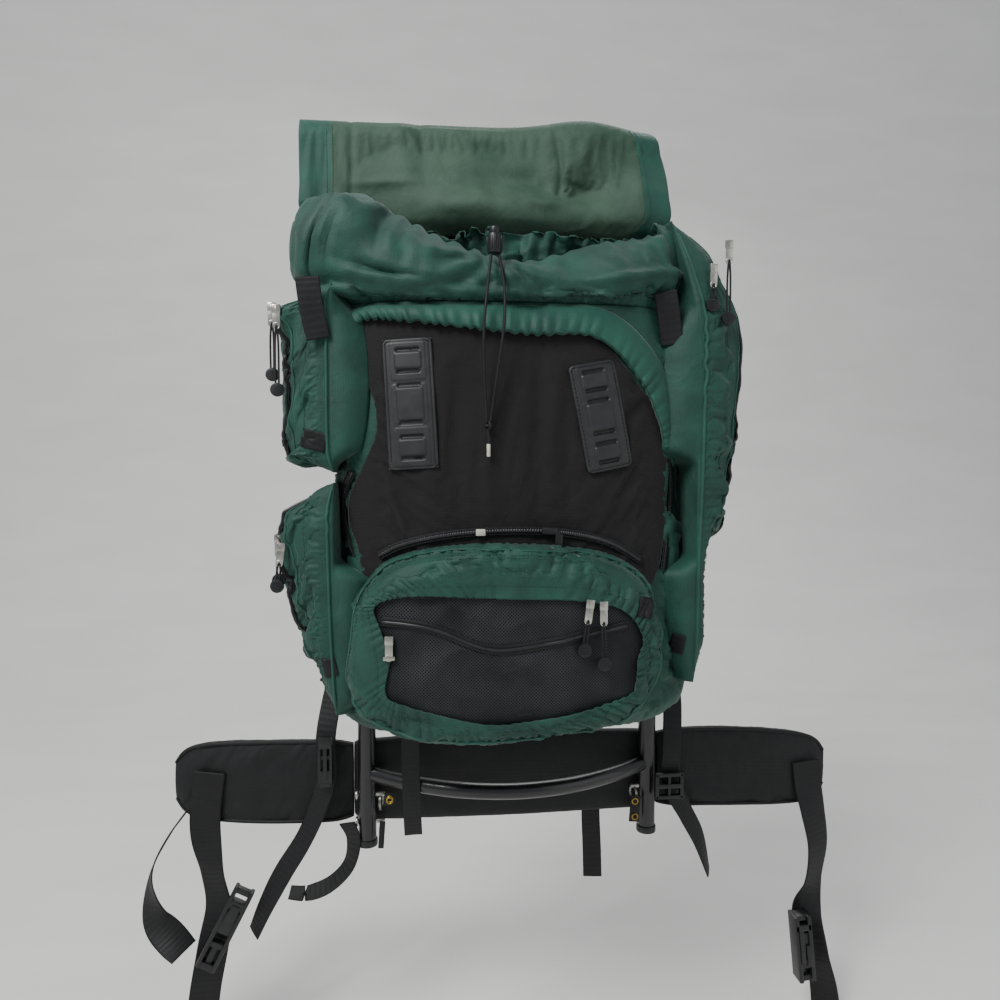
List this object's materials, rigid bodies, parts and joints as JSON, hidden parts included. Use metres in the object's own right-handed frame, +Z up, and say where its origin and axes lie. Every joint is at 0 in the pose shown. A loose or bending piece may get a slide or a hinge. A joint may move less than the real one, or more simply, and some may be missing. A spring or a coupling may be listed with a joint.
{
  "type": "external frame backpack",
  "caption": "Hiking backpack on an external tube frame, with a drawstring bag, zipped pockets, a thrown-back lid, a padded hip belt and shoulder straps.",
  "frame": {"origin": "the middle of the lumbar pad's face on the wearer's side, where a wearer's lower back carries the pack", "axes": "+Z up along the frame tubes; +Y towards the wearer; +X to the right of someone who looks at the bag's front door"},
  "size_m": [0.9036, 0.3194, 1.1547],
  "materials": {
    "frame_paint": "satin black enamel",
    "black_plastic": "moulded, matt",
    "patch_plastic": "moulded, ribbed",
    "zip_tape": "coil zip on woven tape",
    "bright_metal": "plated steel",
    "green_cloth": "coated nylon packcloth, slight sheen",
    "coated_cloth": "proofed inner face, dull",
    "black_cloth": "coarse textured nylon",
    "black_webbing": "woven nylon webbing",
    "black_mesh": "open net",
    "padded_cloth": "foam under smooth nylon",
    "black_cord": "braided cord"
  },
  "bodies": {
    "root": {"frame_tube_left": "frame_paint", "frame_tube_right": "frame_paint", "top_bar": "frame_paint", "crossbar_lower": "frame_paint", "crossbar_middle": "frame_paint", "crossbar_upper": "frame_paint", "foot_plug_left": "black_plastic", "foot_plug_right": "black_plastic", "belt_buckle_left": "black_plastic", "belt_buckle_right": "black_plastic", "slide_buckle_left": "black_plastic", "ladder_buckle_right": "black_plastic", "cord_lock": "black_plastic", "lash_patch_left": "patch_plastic", "lash_patch_right": "patch_plastic", "door_zip_left": "zip_tape", "door_zip_right": "zip_tape", "pocket_zip": "zip_tape", "belt_pin_left_upper": "bright_metal", "belt_pin_left_lower": "bright_metal", "belt_pin_right_upper": "bright_metal", "bag_pin_left": "bright_metal", "bag_pin_right": "bright_metal", "mesh_pull": "bright_metal", "pocket_pull_left": "bright_metal", "pocket_pull_right": "bright_metal", "upper_side_pull_front": "bright_metal", "upper_side_pull_rear": "bright_metal", "lower_side_pull_front": "bright_metal", "lower_side_pull_rear": "bright_metal", "long_pull_upper": "bright_metal", "long_pull_lower": "bright_metal", "main_bag": "green_cloth", "collar": "green_cloth", "rain_flap": "green_cloth", "lower_pocket": "green_cloth", "side_pocket_upper_left": "green_cloth", "side_pocket_lower_left": "green_cloth", "side_pocket_right": "green_cloth", "lid_flap": "coated_cloth", "front_door": "black_cloth", "mesh_panel": "black_mesh", "belt_webbing_left": "black_webbing", "belt_tail_left": "black_webbing", "belt_webbing_right": "black_webbing", "shoulder_webbing_left": "black_webbing", "shoulder_tail_left": "black_webbing", "shoulder_webbing_right": "black_webbing", "top_strap_left": "black_webbing", "top_strap_right": "black_webbing", "bottom_lash_strap": "black_webbing", "lumbar_tail": "black_webbing", "lumbar_pad": "padded_cloth", "hip_wing_left": "padded_cloth", "hip_wing_right": "padded_cloth", "shoulder_strap_left": "padded_cloth", "shoulder_strap_right": "padded_cloth", "drawstring_left": "black_cord", "drawstring_right": "black_cord", "drawstring_knot": "black_cord"}
  },
  "joints": []
}
